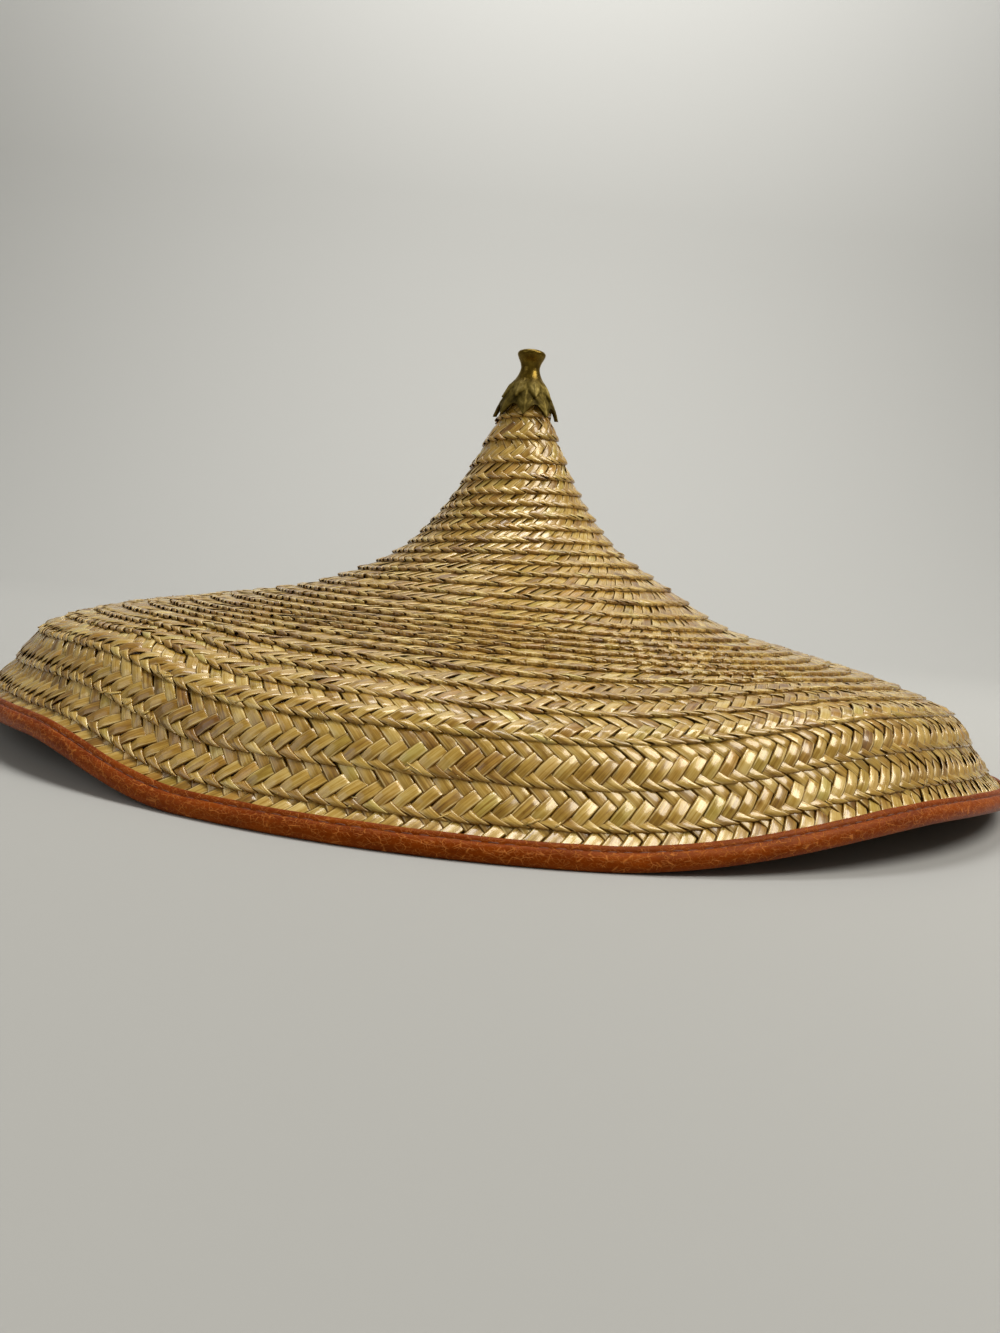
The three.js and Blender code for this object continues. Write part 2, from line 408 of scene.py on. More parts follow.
CREST = 0.14  # how much lower a straw's sides lie than its middle, as a share of its height
SHOWN_HEIGHTS = (0.2, 0.6)  # from where a row is hidden to where it is fully shown
RUN_STEP = 0.05  # keeps the grain moving on where two rows stand at one place across the plait
NUMBERS = 97  # spread of the numbers that set the straws' grains apart


def edge_wander(along):
    waves = zip(WANDER_LENGTHS, WANDER_SIZES, WANDER_PHASES)
    return sum(size * np.sin(2 * math.pi * along / length + phase) for length, size, phase in waves)


def flatness(turn):
    return smoothstep(turn, *FLATTENS)


def over_shape(shape, *values):
    """One row of the values for each place of the shape."""
    return np.stack([np.broadcast_to(value, shape) for value in values], -1).reshape(-1, len(values))


def on_plait(along, over, lifted):
    """Points in metres: millimetres along the plait, over it from its lower edge, and off its middle."""
    turn = np.interp(along, SPIRAL_LENGTH, SPIRAL)
    pitch = turn_pitch(turn)
    over = over - FIRST_DROP * (1 - smoothstep(turn, *FIRST_DROP_ENDS)) * pitch
    over = np.clip(over, (LOWEST_TURN - turn) * pitch, pitch + TUCK)
    up = over / pitch
    offset = PLAIT_BASE + lifted - (PLAIT_LAP + FLAT_LAP * flatness(turn)) * np.minimum(up, LAP_REACH)
    return place(turn + up, offset, SPIRAL_START + 2 * math.pi * turn)


def strips(index, rows, side, character):
    """Points and shading values of one strip for each index. side is -1 where it leans back, 1 forward."""
    across, height, square, hollow_shade = (np.array(column)[None, :, None] for column in zip(*rows))
    traits = character[index - FIRST_STRAW].T[:, :, None, None]
    rise, width, roll, slide, drift, number, tone, warm, tilt = traits
    ring = RING[None, None, :]
    flat = flatness(np.interp(index * STRAW_PITCH, SPIRAL_LENGTH, SPIRAL))[:, None, None]

    # Along the plait and across it
    swept = np.clip(across / SWEEP_DEPTH, 0, 1)
    leg = side * (SLOPE * across + SWEEP * (1 - (1 - swept) ** 2))
    lean_at = side * (SLOPE + 2 * SWEEP / SWEEP_DEPTH * (1 - swept))
    squared = square * STRAW_PITCH * lean_at / (1 + lean_at * lean_at)
    over = across - squared * ring * width
    along = index[:, None, None] * STRAW_PITCH + slide + drift * np.minimum(across / PAD_TOP, 1)
    along = along + leg + ring * width * STRAW_PITCH - squared * lean_at * ring * width
    at_fold = smoothstep(across, FOLD_REACH, 0)
    along = along + FOLD_SLIDE * slide * at_fold
    scallop = SCALLOP * (2 * ring) ** 2 - SCALLOP_TURN * ring + FOLD_DRIFT * drift
    over = over + at_fold * (SCALLOP_AT_BRIM + SCALLOP_GAINS * flat) * scallop
    over = over + edge_wander(along) * smoothstep(across, WANDER_REACH, 0)

    # Off the plait's middle
    crest = np.clip(height, 0, None) * CREST * (2 * ring) ** 2
    shown = smoothstep(height, *SHOWN_HEIGHTS)
    height = height + FLAT_RISE * flat * np.clip(FLAT_LEVEL - height, 0, FLAT_RISE) * (height > 0)
    swell = 1 + ((FLAT_EDGE if rows is EDGE_ROWS else FLAT_PAD) - 1) * flat
    lifted = np.where(height > 0, height * rise * swell, height) - crest + RING_UP[None, None, :] + roll * 2 * ring
    lifted = lifted + tilt * shown * (across - across.mean())
    points = on_plait(along, over, lifted)

    run = np.cumsum(np.abs(np.diff(across, prepend=across[:, :1], axis=1)) + RUN_STEP, axis=1) * math.sqrt(2)
    grain = over_shape(lifted.shape, run, ring * width * STRAW_WIDTH, number * NUMBERS)
    # tone and warmth of the straw, and the painted shade of its hollows
    tint_and_shade = over_shape(lifted.shape, tone, warm, hollow_shade)
    return points.reshape(-1, 3), grain, tint_and_shade


def joined(parts):
    """One set of arrays from several lots of strips, each (points, grain, tint and painted shade, faces)."""
    faces = [[], []]
    start = 0
    for points, _, _, (sides, ends) in parts:
        faces[0].append(sides + start)
        faces[1].append(ends + start)
        start += len(points)
    points, grain, tint_and_shade = (np.concatenate([part[i] for part in parts]) for i in range(3))
    return points, grain, tint_and_shade, [np.concatenate(f) for f in faces]


def straw_look():
    look = Look("straw")
    grain = look.attribute("grain")
    across = look.split(grain)[1]
    # tone and warmth of each straw, and the painted shade of its hollows
    tone, warm, hollow_shade = look.split(look.attribute("tint_and_shade"))

    # Streaks and fibres run along each straw
    streaks = look.noise(grain, (0.06, 1.5, 1), 2)
    fibres = look.noise(grain, (0.1, 3.4, 1), 2)
    patches = look.noise(grain, (0.2, 0.3, 1), 2)
    shade = look.math("MULTIPLY_ADD", streaks, 0.6, -0.18)
    shade = look.math("MULTIPLY_ADD", fibres, 0.48, shade)
    shade = look.math("MULTIPLY_ADD", patches, 0.35, shade)
    shade = look.math("MULTIPLY_ADD", tone, 0.11, shade)
    gold = look.ramp(
        shade,
        (0.22, (0.17, 0.07, 0.004)),
        (0.44, (0.34, 0.183, 0.022)),
        (0.6, (0.49, 0.3, 0.056)),
        (0.85, (0.68, 0.49, 0.16)),
    )

    # Some straws are greener and some browner
    green = look.between(warm, 0.7, 1.8, 0, 0.45)
    brown = look.between(warm, -0.8, -2.0, 0, 0.5)
    gold = look.mix(green, gold, (0.78, 1.0, 0.8), "MULTIPLY")
    gold = look.mix(brown, gold, (0.85, 0.62, 0.42), "MULTIPLY")

    # Painted highlight along each side of a straw, painted shade at its very side, and painted shade in the
    # hollows
    aside = look.math("ABSOLUTE", across)
    edge_highlight = look.math("MULTIPLY", look.between(aside, 1.2, 1.4), look.between(aside, 1.5, 1.62, 1, 0))
    edge_highlight = look.math("MULTIPLY", edge_highlight, look.between(patches, 0.4, 0.6, 0.1, 0.75))
    gold = look.mix(edge_highlight, gold, (0.82, 0.64, 0.28))
    side_shade = look.between(aside, 1.6, 1.88, 0, 0.8)
    painted_shade = look.math("MAXIMUM", look.math("MULTIPLY", hollow_shade, 0.6), side_shade)
    gold = look.mix(painted_shade, gold, (0.4, 0.22, 0.05), "MULTIPLY")
    look.wire(gold, look.shader.inputs["Base Color"])

    rough = look.math("MULTIPLY_ADD", tone, -0.05, look.between(patches, 0.3, 0.7, 0.22, 0.38))
    look.wire(rough, look.shader.inputs["Roughness"])
    bumped = look.bump(fibres, 0.4, 0.00016)
    bumped = look.bump(streaks, 0.35, 0.0002, bumped)
    look.wire(bumped, look.shader.inputs["Normal"])
    tangent = look.nodes.new("ShaderNodeTangent")
    tangent.direction_type = "UV_MAP"
    tangent.uv_map = "lay"
    look.wire(tangent.outputs[0], look.shader.inputs["Tangent"])
    look.set(Specular_IOR_Level=0.7, Specular_Tint=(1, 0.85, 0.52, 1), Anisotropic=0.5, Anisotropic_Rotation=0.25)
    look.set(Coat_Weight=0.55, Coat_Roughness=0.13)
    return look.made


PLAIT_PARTS = (
    # name, first turn, last turn, whether the upper straws show
    ("straw_plait_rim", -0.75, 2.0, True),
    ("straw_plait_brim", 2.0, 5.6, True),
    ("straw_plait_slope", 5.6, 10.2, False),
    ("straw_plait_crown", 10.2, 18.0, False),
    ("straw_plait_peak", 18.0, 25.0, False),
    ("straw_plait_tip", 25.0, 29.2, True),
)
FOLD_STARTS = -0.25  # turn below which the folded edge lies wholly under the leather


def straw_index(turn):
    return math.ceil(np.interp(turn, SPIRAL, SPIRAL_LENGTH) / STRAW_PITCH)


FIRST_STRAW = straw_index(SPIRAL_FIRST) - 1


def limited(spread, most, count):
    return np.clip(RNG.normal(0, spread, count), -most, most)


def make_characters():
    """One row of traits for each straw."""
    count = straw_index(TURNS) - FIRST_STRAW + 2
    return np.stack(
        [
            RNG.uniform(0.82, 1.2, count),  # rise
            RNG.uniform(0.98, 1.1, count),  # width
            limited(0.18, 0.38, count),  # roll about its length
            limited(0.14, 0.3, count),  # slide along the plait
            limited(0.2, 0.35, count),  # drift, which grows across the plait
            RNG.uniform(0, 1, count),  # number
            RNG.normal(0, 1, count),  # tone
            RNG.normal(0, 1, count),  # warmth
            limited(0.06, 0.13, count),  # tilt across the plait
        ],
        -1,
    )


# Splinters that stand off the plait's lower edge
FRAYS = 520
FRAY_FIRST = 0.1  # turn
FRAY_TURNS = 9
FRAY_THINS = 1.4  # power by which they get rarer further up
FRAY_TONE = 1.3
FRAY_ROWS = np.array([0, 0.3, 0.65, 1])
FRAY_RING = np.array([(-0.5, 0), (0.5, 0), (0, -0.35)])
FRAY_SPANS = (
    (0, 1),  # place along the spiral
    (-0.35, 0.6),  # lower end, over the plait's edge
    (1.4, 3.6),  # reach across the plait
    (0.5, 1.6),  # slope
    (0.4, 0.95),  # width
    (0.45, 0.7),  # height off the plait's middle
    (0.05, 0.6),  # curl of the lower end
    (-0.8, 0.8),  # bend
    (0, NUMBERS),  # number
)


def make_frays(look):
    shape = (FRAYS, len(FRAY_ROWS), len(FRAY_RING))
    traits = (RNG.uniform(*span, (FRAYS, 1, 1)) for span in FRAY_SPANS)
    begin, low, reach, slope, width, height, curl, bend, number = traits
    side = RNG.choice([-1, 1], (FRAYS, 1, 1))
    share = FRAY_ROWS[None, :, None]
    ring, under = (column[None, None, :] for column in FRAY_RING.T)
    along = np.interp(FRAY_FIRST + FRAY_TURNS * begin**FRAY_THINS, SPIRAL, SPIRAL_LENGTH)
    thin = width * np.sin(math.pi * (0.12 + 0.76 * share))
    along = along + side * slope * reach * share + bend * share**2 + ring * thin
    over = low + reach * share - side * ring * thin * 0.7
    lifted = height + curl * (1 - share) ** 2 + under + 0 * ring
    points = on_plait(along, over + edge_wander(along), lifted)
    grain = over_shape(shape, reach * share * 1.4, ring * thin, number)
    tint_and_shade = over_shape(shape, FRAY_TONE, 0, 0)
    attributes = [("grain", grain), ("tint_and_shade", tint_and_shade)]
    flat = points.reshape(-1, 3)
    mesh_piece("straw_frays", flat, tube_faces(*shape), look, "straw_body", attributes, grain[:, :2])


def make_plait():
    look = straw_look()
    character = make_characters()
    pads = make_characters()
    for name, first, last, wide in PLAIT_PARTS:
        index = np.arange(straw_index(first), straw_index(last))
        parts = []
        sets = [(EDGE_ROWS, -1, character), (PAD_ROWS if wide else CLOSE_PAD_ROWS, 1, pads)]
        if wide:
            sets.append((TOP_ROWS, -1, character))
        for rows, side, values in sets:
            used = index[index >= straw_index(FOLD_STARTS)] if rows is EDGE_ROWS else index
            strip = strips(used, rows, side, values)
            faces = tube_faces(len(used), len(rows), len(RING))
            parts.append((*strip, faces))
        points, grain, tint_and_shade, faces = joined(parts)
        attributes = (("grain", grain), ("tint_and_shade", tint_and_shade))
        mesh_piece(name, points, faces, look, "straw_body", attributes, grain[:, :2])
    make_frays(look)


# The back of the plait, seen from inside the hat: one ribbon wound with the straws
BACKING_STEPS = 200
BACKING_RING = [
    # share of the way up the ribbon, offset
    (0, -2.2),
    (0.5, -2.35),
    (1, -2.3),
    (1, -1.3),
    (0.5, -1.3),
    (0, -1.25),
]
BACKING_FIRST = 0.1  # turn of the ribbon's upper edge where it starts
BACKING_LOWEST = 0.02  # no part of it lies on a lower turn
BACKING_TOP = 1.1  # turns from a lap to the ribbon's upper edge
BACKING_FOLD = 5.4  # across the ribbon, from one fold of its straws to the next


def backing_look():
    look = Look("straw_back")
    along, across, _ = look.split(look.attribute("weave"))
    fold = look.math("PINGPONG", across, BACKING_FOLD)
    straw = look.math("DIVIDE", look.math("MULTIPLY_ADD", fold, SLOPE, along), STRAW_PITCH)
    aside = look.math("ABSOLUTE", look.math("SUBTRACT", look.math("FRACT", straw), 0.5))
    near_fold = look.math("ABSOLUTE", look.math("SUBTRACT", fold, BACKING_FOLD / 2))
    swell = look.math("MULTIPLY", look.between(aside, 0.2, 0.5, 1, 0), look.between(near_fold, 1.7, 2.7, 1, 0.2))
    lay = look.nodes.new("ShaderNodeCombineXYZ")
    band = look.math("FLOOR", look.math("DIVIDE", across, BACKING_FOLD))
    for value, socket in zip((look.math("FLOOR", straw), band, along), lay.inputs):
        look.wire(value, socket)
    tone = look.noise(lay.outputs[0], (17.3, 7.1, 0.05), 1)
    fibres = look.noise(lay.outputs[0], (17.3, 7.1, 2.5), 2)
    shade = look.math("MULTIPLY_ADD", tone, 0.7, look.math("MULTIPLY", fibres, 0.35))
    colour = look.ramp(shade, (0.3, (0.2, 0.095, 0.012)), (0.7, (0.45, 0.28, 0.07)))
    # Painted shade in the gaps between the straws and along their folds
    seam = look.between(swell, 0.0, 0.35, 0.75, 0)
    look.wire(look.mix(seam, colour, (0.35, 0.2, 0.08), "MULTIPLY"), look.shader.inputs["Base Color"])
    look.wire(look.bump(swell, 0.8, 0.0006), look.shader.inputs["Normal"])
    look.set(Roughness=0.5)
    return look.made


def make_backing():
    turn = np.arange(BACKING_FIRST - BACKING_TOP, TURNS - 1, 1 / BACKING_STEPS)[:, None]
    share, offset = (np.array(column)[None, :] for column in zip(*BACKING_RING))
    low = np.maximum(turn, BACKING_LOWEST)
    level = low + (turn + BACKING_TOP - low) * share
    lap = (PLAIT_LAP + FLAT_LAP * flatness(turn)) * (level - turn)
    points = place(level, offset - lap, SPIRAL_START + 2 * math.pi * turn)
    along = np.interp(turn, SPIRAL, SPIRAL_LENGTH) + 0 * share
    weave = np.stack([along, (level - turn) * turn_pitch(turn), 0 * along], -1).reshape(-1, 3)
    faces = tube_faces(1, len(turn), len(BACKING_RING))
    flat = points.reshape(-1, 3)
    mesh_piece("straw_backing", flat, faces, backing_look(), "straw_body", [("weave", weave)])


# Leather binding. Its section is a closed loop: how far out from the rim, and height.
BINDING_SECTION = [
    (-1.45, 5.15),  # top of the outer strip, against the straw
    (-1.2, 5.72),
    (-0.75, 5.98),
    (-0.3, 5.85),
    (0.15, 5.5),
    (0.55, 5.02),
    (0.75, 4.4),  # stitch line
    (0.98, 4.36),
    (1.42, 4.92),  # puckered lip of the padded fold
    (1.95, 4.72),
    (2.6, 4.2),
    (3.12, 3.45),
    (3.42, 2.6),
    (3.5, 1.7),
    (3.3, 0.85),
    (2.85, 0.25),
    (2.2, 0.0),
    (0.4, 0.0),
    (-1.4, 0.0),
    (-2.3, 0.12),
    (-3.1, 0.7),
    (-4.1, 1.65),
    (-4.62, 2.2),
    (-4.45, 2.72),
    (-3.95, 2.82),  # top of the inner strip, against the straw
    (-1.75, 1.0),
    (0.45, 3.1),
]
STITCH_LINE = 6  # rows of the section
LIP = 8
LIP_REACH = 1.6
FOLD_BEGINS = (6, 8)
FOLD_ENDS = (16, 14)
STITCHES = 305
STITCH_STEPS = 4
BINDING_STEPS = STITCHES * STITCH_STEPS
PUCKER = 0.22  # how far the lip moves in and out from stitch to stitch
PUCKER_RISE = 0.6
UNEVEN = 0.05  # of the padded fold
TOP_REACH = 3.0  # rows below the outer strip's top that follow its waves
TOP_WAVES = ((7, 0.1), (19, 0.08), (43, 0.06), (71, 0.05))  # waves round the hat, and their size
LEATHER_ARC = 207.0  # radius along which the leather's grain runs

# Thread
STITCH_SHARE = 0.72  # of the way from one stitch to the next that a stitch shows
STITCH_ROWS = [
    # share along the stitch, rise
    (-0.5, -0.45),
    (-0.42, -0.05),
    (-0.2, 0.12),
    (0.2, 0.12),
    (0.42, -0.05),
    (0.5, -0.45),
]
STITCH_RING = [(math.cos(a) * 0.25, math.sin(a) * 0.2) for a in np.arange(5) * 2 * math.pi / 5]
STITCH_OUT = (0.12, 0.25)  # from the section's row to the thread's middle: out, and up
STITCH_RISE = 0.12
STITCH_SLANT = 0.707  # the seam faces half outward and half up


def leather_look():
    look = Look("leather")
    skin = look.attribute("skin")
    groove_shade = look.split(skin)[2]
    warped = look.noise(skin, (0.5, 0.7, 1), 2)
    creases = look.cracks(skin, (0.3, 0.55, 1), 0.5)
    fine = look.cracks(skin, (0.8, 1.2, 1), -0.35)
    grain = look.noise(skin, (2.6, 2.6, 1), 3, 0.6)
    blotches = look.noise(skin, (0.06, 0.25, 1), 3)
    tone = look.math("MULTIPLY_ADD", blotches, 0.8, look.math("MULTIPLY", grain, 0.25))
    base = look.ramp(
        tone,
        (0.3, (0.12, 0.016, 0.0005)),
        (0.55, (0.21, 0.034, 0.001)),
        (0.8, (0.32, 0.064, 0.002)),
    )
    # Pale lines along the creases, in patches: painted highlight on the crinkles, and the same lines are bumped
    crease_highlight = look.between(creases, 0.0, 0.045, 1, 0)
    fine_crease_highlight = look.between(fine, 0.0, 0.06, 0.7, 0)
    some = look.between(warped, 0.38, 0.55)
    crease_highlight = look.math("MAXIMUM", look.math("MULTIPLY", crease_highlight, some), look.math("MULTIPLY", fine_crease_highlight, some))
    base = look.mix(look.math("MULTIPLY", crease_highlight, 0.6), base, (0.72, 0.25, 0.05))
    # Painted shade in the stitch groove and over the outer strip's top
    base = look.mix(look.math("MULTIPLY", groove_shade, 0.8), base, (0.2, 0.1, 0.06), "MULTIPLY")
    look.wire(base, look.shader.inputs["Base Color"])
    look.wire(look.between(grain, 0.3, 0.7, 0.34, 0.5), look.shader.inputs["Roughness"])
    bumped = look.bump(grain, 0.25, 0.00012)
    bumped = look.bump(crease_highlight, 0.6, 0.00018, bumped)
    look.wire(bumped, look.shader.inputs["Normal"])
    look.set(Specular_IOR_Level=0.2, Specular_Tint=(1, 0.42, 0.12, 1))
    return look.made


def make_binding():
    section = np.array(BINDING_SECTION)
    rows = len(section)
    step = np.arange(BINDING_STEPS)
    angle = SPIRAL_START + 2 * math.pi * step / BINDING_STEPS
    phase = step % STITCH_STEPS / STITCH_STEPS
    held = np.cos(math.pi * phase) ** 2  # 1 where a stitch pulls the leather in, 0 between two stitches
    near = np.exp(-(((np.arange(rows) - LIP) / LIP_REACH) ** 2))[:, None]
    shift = PUCKER * near * (0.5 - held[None, :])
    phases = RNG.uniform(0, 6, len(TOP_WAVES))
    waves = sum(size * np.sin(count * angle + turned) for (count, size), turned in zip(TOP_WAVES, phases))
    top = np.exp(-((np.arange(rows) / TOP_REACH) ** 2))[:, None]
    jitter = np.repeat(RNG.normal(0, 1, (rows, STITCHES)), STITCH_STEPS, axis=1)
    jitter = sum(np.roll(jitter, steps, axis=1) for steps in (0, 1, -1, 2)) / 4
    on_fold = smoothstep(np.arange(rows), *FOLD_BEGINS) * smoothstep(np.arange(rows), *FOLD_ENDS)
    uneven = on_fold[:, None] * UNEVEN * jitter
    out = section[:, :1] + shift + uneven
    height = section[:, 1:] + shift * PUCKER_RISE + top * waves[None, :] + uneven
    points = stand(PROFILE[0, 1] + out, height, np.broadcast_to(angle, (rows, BINDING_STEPS)))
    faces = swept_faces(rows, BINDING_STEPS)

    # The skin's coordinates: along the strip, round its section, and the painted shade of the stitch groove and of
    # the outer strip's top
    around = np.concatenate([[0], np.cumsum(np.linalg.norm(np.diff(section, axis=0, append=section[:1]), axis=1))])
    row = np.repeat(np.arange(rows), BINDING_STEPS)
    column = np.tile(step, rows)
    # Painted shade: strongest along the stitch groove, with a light wash over the rows of the outer strip's top
    groove_shade = np.exp(-(((np.arange(rows + 1) - STITCH_LINE - 0.3) / 1.1) ** 2))
    groove_shade = np.maximum(groove_shade, np.where(np.arange(rows + 1) < 5, 0.15, 0))
    corner_row = np.stack([row, row + 1, row + 1, row], -1).ravel()
    corner_column = np.stack([column, column, column + 1, column + 1], -1).ravel()
    along = corner_column * 2 * math.pi * LEATHER_ARC / BINDING_STEPS
    skin = np.stack([along, around[corner_row], groove_shade[corner_row]], -1)
    flat = points.reshape(-1, 3)
    mesh_piece("leather_binding", flat, [faces], leather_look(), "brim_binding", [("skin", skin)])


def thread_look():
    look = Look("thread")
    twist = look.noise(look.attribute("twist"), (3, 9, 1), 2)
    colour = look.ramp(twist, (0.3, (0.07, 0.012, 0.001)), (0.7, (0.16, 0.034, 0.003)))
    look.wire(colour, look.shader.inputs["Base Color"])
    look.wire(look.bump(twist, 0.4, 0.0001), look.shader.inputs["Normal"])
    look.set(Roughness=0.6)
    return look.made


def make_stitches():
    number = np.arange(STITCHES)[:, None, None]
    share, rise = (np.array(column)[None, :, None] for column in zip(*STITCH_ROWS))
    ring_out, ring_up = (np.array(column)[None, None, :] for column in zip(*STITCH_RING))
    thin = np.where(rise < -0.2, 0.5, 1.0)  # at both ends of a stitch
    drift = RNG.normal(0, 0.08, (STITCHES, 1, 1))
    size = RNG.uniform(0.9, 1.05, (STITCHES, 1, 1))
    place_at = number + 0.5 + share * STITCH_SHARE * size + drift * 0.4
    angle = SPIRAL_START + 2 * math.pi * place_at / STITCHES + 0 * ring_out
    seam = np.array(BINDING_SECTION[STITCH_LINE]) + STITCH_OUT
    outward = STITCH_SLANT * (rise + STITCH_RISE + ring_up * thin)
    tangent = STITCH_SLANT * (ring_out * thin + drift)
    out = seam[0] + outward - tangent
    height = seam[1] + outward + tangent
    points = stand(PROFILE[0, 1] + out, height + 0 * angle, angle)
    twist = np.stack([angle * LEATHER_ARC, out + height + 0 * angle, 0 * angle], -1)
    faces = tube_faces(STITCHES, len(STITCH_ROWS), len(STITCH_RING))
    look = thread_look()
    flat = points.reshape(-1, 3)
    mesh_piece("binding_stitches", flat, faces, look, "brim_binding", [("twist", twist.reshape(-1, 3))])


# Brass cap. Heights are above the tips of its lower leaves.
CAP_LEVEL = 138.5  # of those tips in the hat's frame
CAP_SIDES = 256
CAP_TURN = math.radians(-5)  # of the leaves from the spiral's start
LEAVES = 8
CAP_WALL = 1.1
ARCH_HEIGHT = 5  # of the arches between the lower leaves' tips
TIER_LEVEL = 8  # of the upper leaves' tips
TIER_ARCH = 3.3
TIER_RELIEF = 0.64  # how far the upper leaves stand off the lower ones
LEAF_RELIEF = 0.55
CAST_UNEVEN = 0.03
SKIRT_TOP = 16  # of the hollow
SKIRT_FADES = (17.5, 13.5)  # heights between which the leaves begin
CAP_PROFILE = np.array(
    [
        # height, radius
        (0, 14.0),
        (4.4, 12.5),
        (8, 10.8),
        (11.6, 8.9),
        (16, 6.7),
        (18.7, 5.1),
        (20.5, 4.4),
        (22.3, 4.05),
        (24.2, 4.5),
        (26.2, 5.5),
        (27.7, 6.15),
        (28.5, 6.1),
        (29.3, 5.4),
        (29.9, 3.8),
        (30.15, 1.9),
    ]
)
CAP_ROWS = 56


def leaf_share(angle, offset):
    """0 at a leaf's tip, 1 at the arch beside it."""
    leaf = np.mod((angle - SPIRAL_START - CAP_TURN) * LEAVES / (2 * math.pi) - offset, 1)
    return np.minimum(leaf, 1 - leaf) * 2


def leaf_relief(share, height, dome, vein, ribs):
    """Relief of one tier's leaves: a dome (height, fall), a vein (height, width) and ribs (size, count, rise)."""
    domed = dome[0] - dome[1] * share**2
    veined = vein[0] * np.exp(-((share / vein[1]) ** 2))
    ribbed = ribs[0] * np.sin(share * ribs[1] - height * ribs[2]) * smoothstep(share, 0.1, 0.25)
    return domed + veined + ribbed


def brass_look():
    look = Look("aged_brass")
    _, worn, polished = look.split(look.attribute("cast"))
    here = look.nodes.new("ShaderNodeTexCoord").outputs["Object"]
    patina = look.noise(here, (420, 420, 300), 4, 0.6)
    pits = look.noise(here, (1500, 1500, 1500), 3, 0.6)
    dirt = look.math("MULTIPLY_ADD", patina, 0.9, look.math("MULTIPLY", worn, 0.28))
    colour = look.ramp(
        dirt,
        (0.3, (0.03, 0.02, 0.002)),
        (0.5, (0.075, 0.052, 0.006)),
        (0.68, (0.16, 0.115, 0.022)),
        (0.95, (0.3, 0.23, 0.07)),
    )
    knob = look.ramp(patina, (0.3, (0.06, 0.034, 0.003)), (0.7, (0.17, 0.11, 0.012)))
    colour = look.mix(polished, colour, knob)
    look.wire(colour, look.shader.inputs["Base Color"])
    look.wire(look.between(dirt, 0.4, 0.95, 0.62, 0.34), look.shader.inputs["Metallic"])
    rough = look.math("MULTIPLY_ADD", polished, -0.3, look.between(patina, 0.3, 0.7, 0.62, 0.48))
    look.wire(rough, look.shader.inputs["Roughness"])
    look.wire(look.bump(pits, 0.35, 0.00012), look.shader.inputs["Normal"])
    look.set(Specular_IOR_Level=0.25, Specular_Tint=(1, 0.85, 0.5, 1))
    return look.made


def make_cap():
    heights, radii = CAP_PROFILE.T
    angle = SPIRAL_START + np.linspace(0, 2 * math.pi, CAP_SIDES, endpoint=False)
    low = leaf_share(angle, 0)
    high = leaf_share(angle, 0.5)
    lower = ARCH_HEIGHT * np.sin(math.pi / 2 * low)
    share = np.linspace(0, 1, CAP_ROWS)[:, None] ** 1.05
    height = lower + (heights[-1] - lower) * share

    # Relief outside: the lower leaves, and the upper ones above their edge
    tier_edge = TIER_LEVEL + TIER_ARCH * np.sin(math.pi / 2 * high)
    on_skirt = smoothstep(height, *SKIRT_FADES)
    step_up = smoothstep(height, tier_edge - 0.25, tier_edge + 0.25) * on_skirt
    first = leaf_relief(low, height, (0.7, 1.3), (0.45, 0.09), (0.16, 9, 1.5))
    second = leaf_relief(high, height, (0.75, 1.2), (0.5, 0.1), (0.18, 8, 1.7))
    relief = ((1 - step_up) * first + step_up * second) * on_skirt
    relief = relief * LEAF_RELIEF + TIER_RELIEF * step_up
    relief = relief + RNG.normal(0, CAST_UNEVEN, relief.shape) * on_skirt
    outer_radius = np.interp(height, heights, radii) + relief
    outer = stand(outer_radius, CAP_LEVEL + height, np.broadcast_to(angle, height.shape))
    inner_height = np.stack([lower, lower + 0.3 * (SKIRT_TOP - lower), np.full(CAP_SIDES, SKIRT_TOP)])
    inner_radius = np.interp(inner_height, heights, radii) - CAP_WALL
    inner = stand(inner_radius, CAP_LEVEL + inner_height, np.broadcast_to(angle, inner_height.shape))

    # Rows from the roof of the hollow down to the leaves' tips and up to the top, and the middles of both ends
    rows = [*inner[::-1], *outer]
    grid = np.concatenate(rows)
    column = np.arange(CAP_SIDES)
    after = (column + 1) % CAP_SIDES
    row = np.arange(len(rows) - 1)[:, None] * CAP_SIDES
    sides = np.stack([row + column, row + after, row + CAP_SIDES + after, row + CAP_SIDES + column], -1)
    ends = [(0, 0, CAP_LEVEL + SKIRT_TOP + CAP_WALL), (0, 0, CAP_LEVEL + heights[-1] + 0.05)]
    points = np.concatenate([grid, np.array(ends) * MM])
    roof, crest = len(grid), len(grid) + 1
    bottom = np.stack([after, column, np.full(CAP_SIDES, roof)], -1)
    last = (len(rows) - 1) * CAP_SIDES
    cover = np.stack([last + column, last + after, np.full(CAP_SIDES, crest)], -1)
    worn = np.concatenate([np.zeros(len(inner) * CAP_SIDES), (relief * 1.1 - 0.1).ravel(), [0, 0.3]])
    polished = np.concatenate([np.zeros(len(inner) * CAP_SIDES), (1 - on_skirt).ravel(), [0, 1]])
    cast = np.stack([0 * worn, worn, polished], -1)
    faces = [sides.reshape(-1, 4), np.concatenate([bottom, cover])]
    mesh_piece("brass_cap", points, faces, brass_look(), "finial_cap", [("cast", cast)])


make_plait()
make_backing()
make_binding()
make_stitches()
make_cap()

# Camera: the eye, its downward tilt and its roll, with a frame as wide as the distance to it
EYE = (-0.3, -447.6, 70.5)
TILT_DOWN = 5.28
ROLL = 5.7


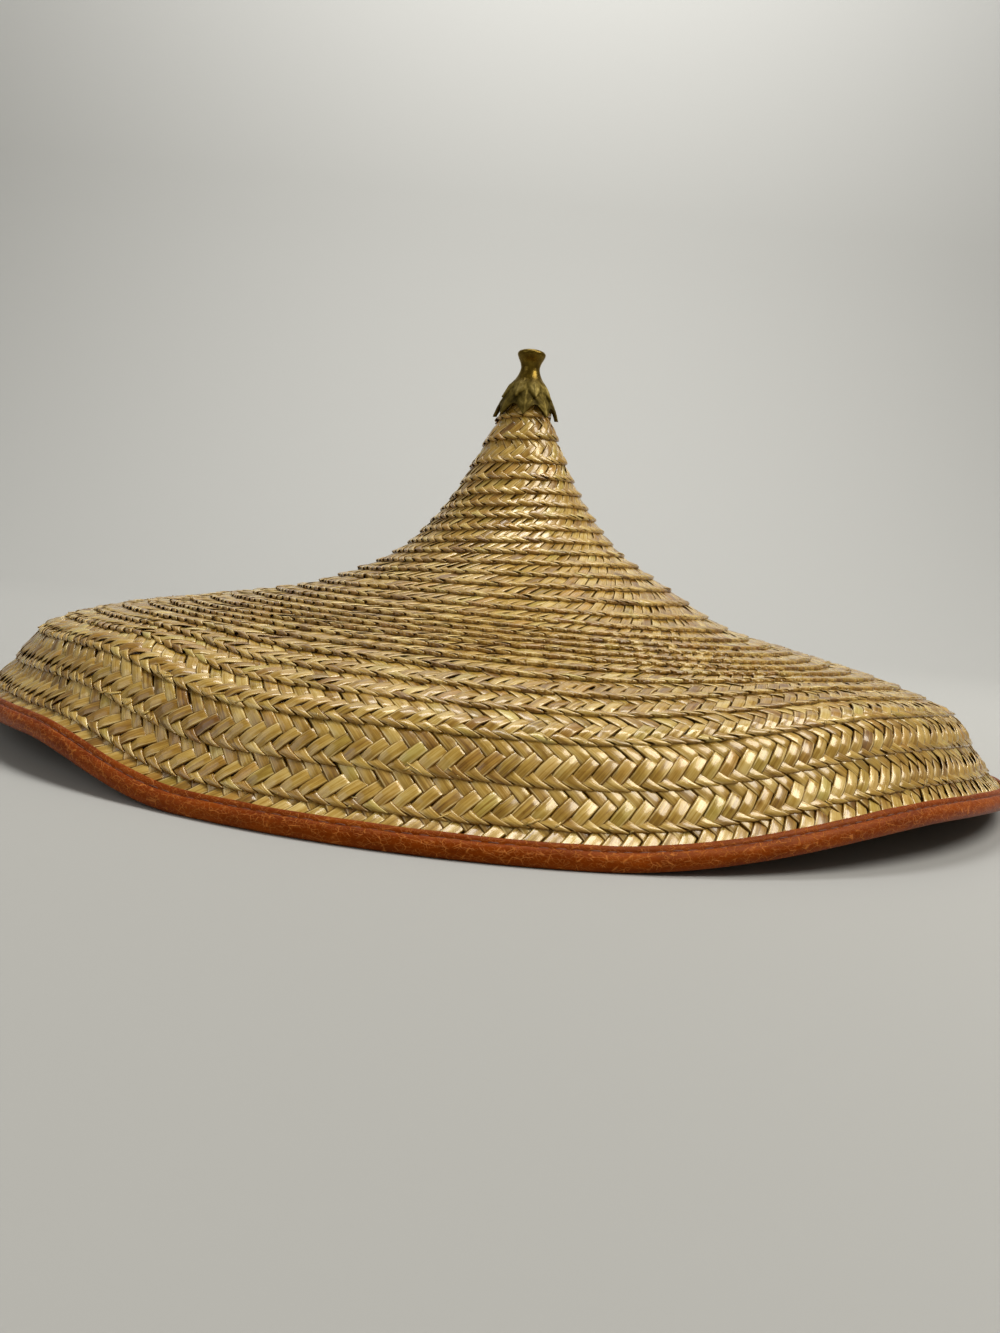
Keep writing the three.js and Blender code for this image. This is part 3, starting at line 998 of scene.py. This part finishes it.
def make_camera():
    data = bpy.data.cameras.new("camera")
    data.sensor_fit = "HORIZONTAL"
    data.sensor_width = 36.0
    data.lens = 36.0
    data.clip_start = 0.01
    camera = bpy.data.objects.new("camera", data)
    bpy.context.scene.collection.objects.link(camera)
    turn = Matrix.Rotation(math.radians(90 - TILT_DOWN), 4, "X") @ Matrix.Rotation(math.radians(ROLL), 4, "Z")
    camera.matrix_world = Matrix.Translation([c * MM for c in EYE]) @ turn
    bpy.context.scene.camera = camera


# Stage: a floor that curves up into a back wall
STAGE_HALF_WIDTH = 3.0
STAGE_FRONT = -3.0
STAGE_BACK = 1.6
STAGE_CURVE = 0.8
STAGE_TOP = 3.0


def make_stage():
    look = Look("studio")
    look.set(Base_Color=(0.4, 0.398, 0.378, 1), Roughness=0.9)
    bend = np.linspace(0, math.pi / 2, 17)
    away = np.concatenate([[STAGE_FRONT], STAGE_BACK - STAGE_CURVE + STAGE_CURVE * np.sin(bend), [STAGE_BACK]])
    up = np.concatenate([[0], STAGE_CURVE * (1 - np.cos(bend)), [STAGE_TOP]])
    left = np.stack([np.full(len(up), -STAGE_HALF_WIDTH), away, up], -1)
    right = left * (-1, 1, 1)
    count = len(up)
    mesh = bpy.data.meshes.new("floor")
    quads = [(i, i + count, i + count + 1, i + 1) for i in range(count - 1)]
    mesh.from_pydata(np.concatenate([left, right]).tolist(), [], quads)
    mesh.polygons.foreach_set("use_smooth", [True] * len(quads))
    mesh.materials.append(look.made)
    floor = bpy.data.objects.new("floor", mesh)
    bpy.context.scene.collection.objects.link(floor)


def area_light(name, place_at, aim, size, power, colour=(1, 1, 1)):
    data = bpy.data.lights.new(name, "AREA")
    data.shape = "DISK"
    data.size = size
    data.energy = power
    data.color = colour
    lamp = bpy.data.objects.new(name, data)
    bpy.context.scene.collection.objects.link(lamp)
    lamp.location = place_at
    lamp.rotation_euler = (Vector(aim) - Vector(place_at)).to_track_quat("-Z", "Y").to_euler()


WORLD_COLOUR = (0.92, 0.87, 0.76, 1)
WORLD_STRENGTH = 0.24


def make_lights():
    world = bpy.data.worlds.new("world")
    bpy.context.scene.world = world
    world.use_nodes = True
    background = world.node_tree.nodes["Background"]
    background.inputs["Color"].default_value = WORLD_COLOUR
    background.inputs["Strength"].default_value = WORLD_STRENGTH
    area_light("key", (0.8, -0.28, 1.2), (0, 0, 0.05), 0.8, 15, (1, 0.97, 0.92))
    area_light("fill", (-1.1, -0.7, 0.8), (0, 0, 0.05), 1.0, 3, (0.96, 0.98, 1))
    area_light("wall_wash", (0, 0.5, 2.2), (0, 2.2, 0.9), 1.4, 52)


make_camera()
make_stage()
make_lights()
bpy.context.scene.view_settings.view_transform = "Standard"
